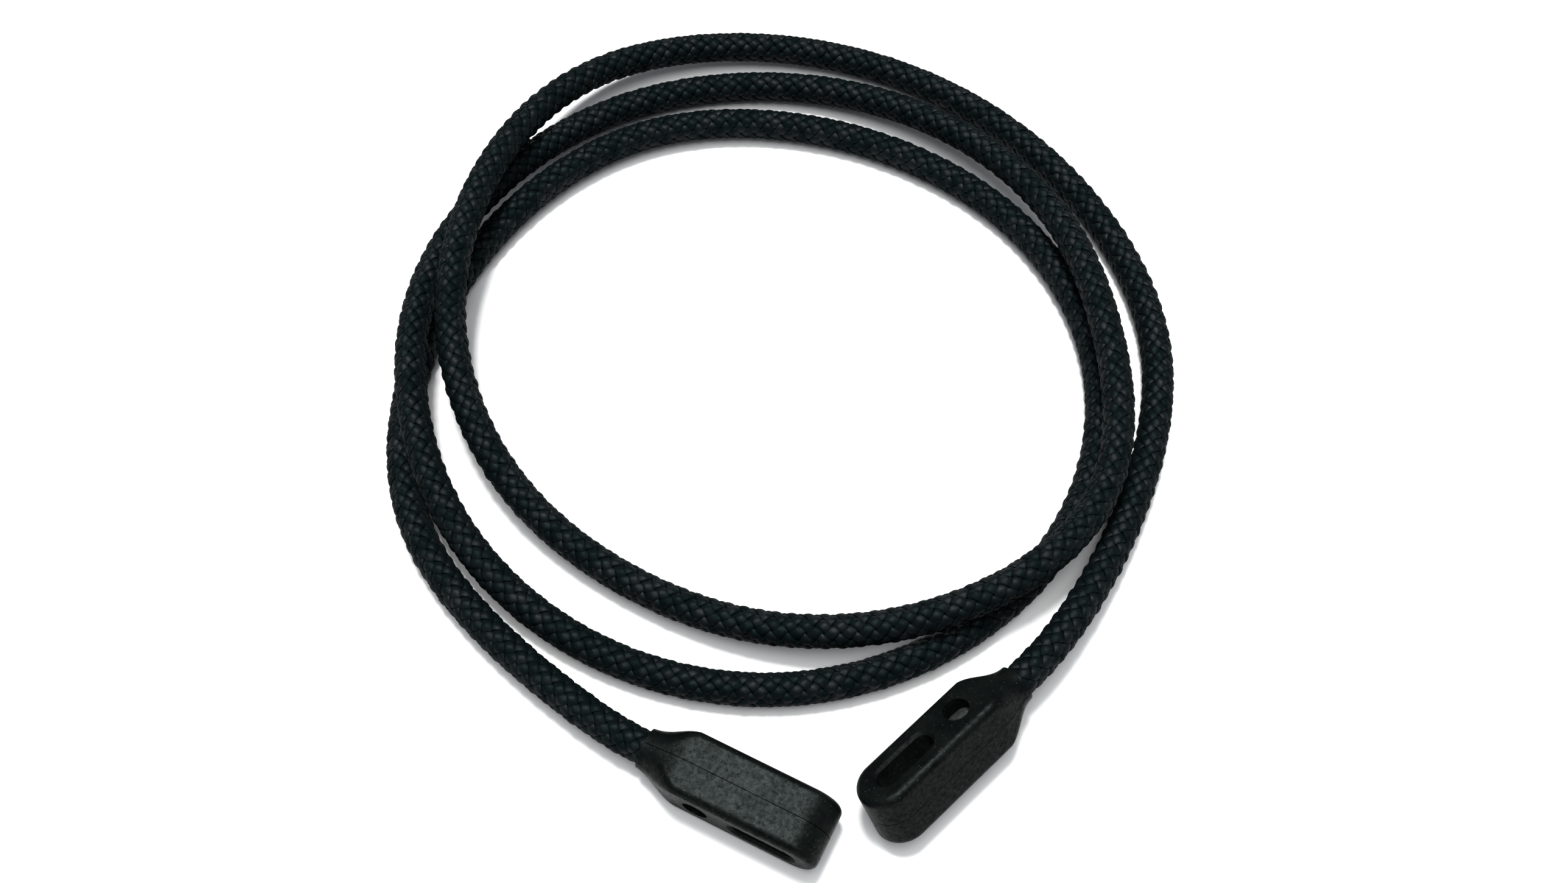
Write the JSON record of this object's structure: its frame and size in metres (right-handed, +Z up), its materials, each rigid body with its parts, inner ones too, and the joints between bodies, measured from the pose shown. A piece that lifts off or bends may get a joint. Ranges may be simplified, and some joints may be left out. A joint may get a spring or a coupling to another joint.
{
  "type": "braided cord strap",
  "caption": "Loosely coiled round braided cord with a slotted moulded end fitting on each end, for tethering or carrying a small item.",
  "frame": {"origin": "on the table top, in the middle of the ground the strap covers", "axes": "+Z up from the table; -Y towards the two end fittings; +X to the right of someone looking along +Y"},
  "size_m": [0.1192, 0.1418, 0.0135],
  "materials": {
    "braided_sheath": "braided polyester, slight sheen on each yarn",
    "core_yarn": "parallel filament yarn",
    "moulded_end": "fine spark-eroded moulding texture",
    "crimp_ferrule": "dull crimped sleeve",
    "fused_cord": "heat-sealed, slightly glossy"
  },
  "bodies": {
    "coil": {"coil_sheath": "braided_sheath", "coil_core": "core_yarn"},
    "left_tail": {"left_tail_sheath": "braided_sheath", "left_tail_core": "core_yarn"},
    "left_end": {"left_front_shell": "moulded_end", "left_back_shell": "moulded_end", "left_ferrule": "crimp_ferrule", "left_fused_tip": "fused_cord", "left_end_sheath": "braided_sheath", "left_end_core": "core_yarn"},
    "right_tail": {"right_tail_sheath": "braided_sheath", "right_tail_core": "core_yarn"},
    "right_end": {"right_front_shell": "moulded_end", "right_back_shell": "moulded_end", "right_ferrule": "crimp_ferrule", "right_fused_tip": "fused_cord", "right_end_sheath": "braided_sheath", "right_end_core": "core_yarn"}
  },
  "joints": [
    {"name": "left_swing", "type": "hinge", "parent": "coil", "child": "left_tail", "pos_m": [-0.0388, -0.04041, 0.00339], "axis": [0, 0, -1], "range_deg": [0, 45], "stiffness_Nm_per_rad": 0.001},
    {"name": "left_lift", "type": "hinge", "parent": "left_tail", "child": "left_end", "pos_m": [-0.02718, -0.04988, 0.00387], "axis": [-0.5877, -0.8091, 0], "range_deg": [0, 60], "stiffness_Nm_per_rad": 0.001},
    {"name": "right_swing", "type": "hinge", "parent": "coil", "child": "right_tail", "pos_m": [0.04636, -0.02685, 0.00362], "axis": [0, 0, 1], "range_deg": [0, 45], "stiffness_Nm_per_rad": 0.001},
    {"name": "right_lift", "type": "hinge", "parent": "right_tail", "child": "right_end", "pos_m": [0.03814, -0.03929, 0.00516], "axis": [-0.7864, 0.6177, 0], "range_deg": [0, 60], "stiffness_Nm_per_rad": 0.001}
  ]
}
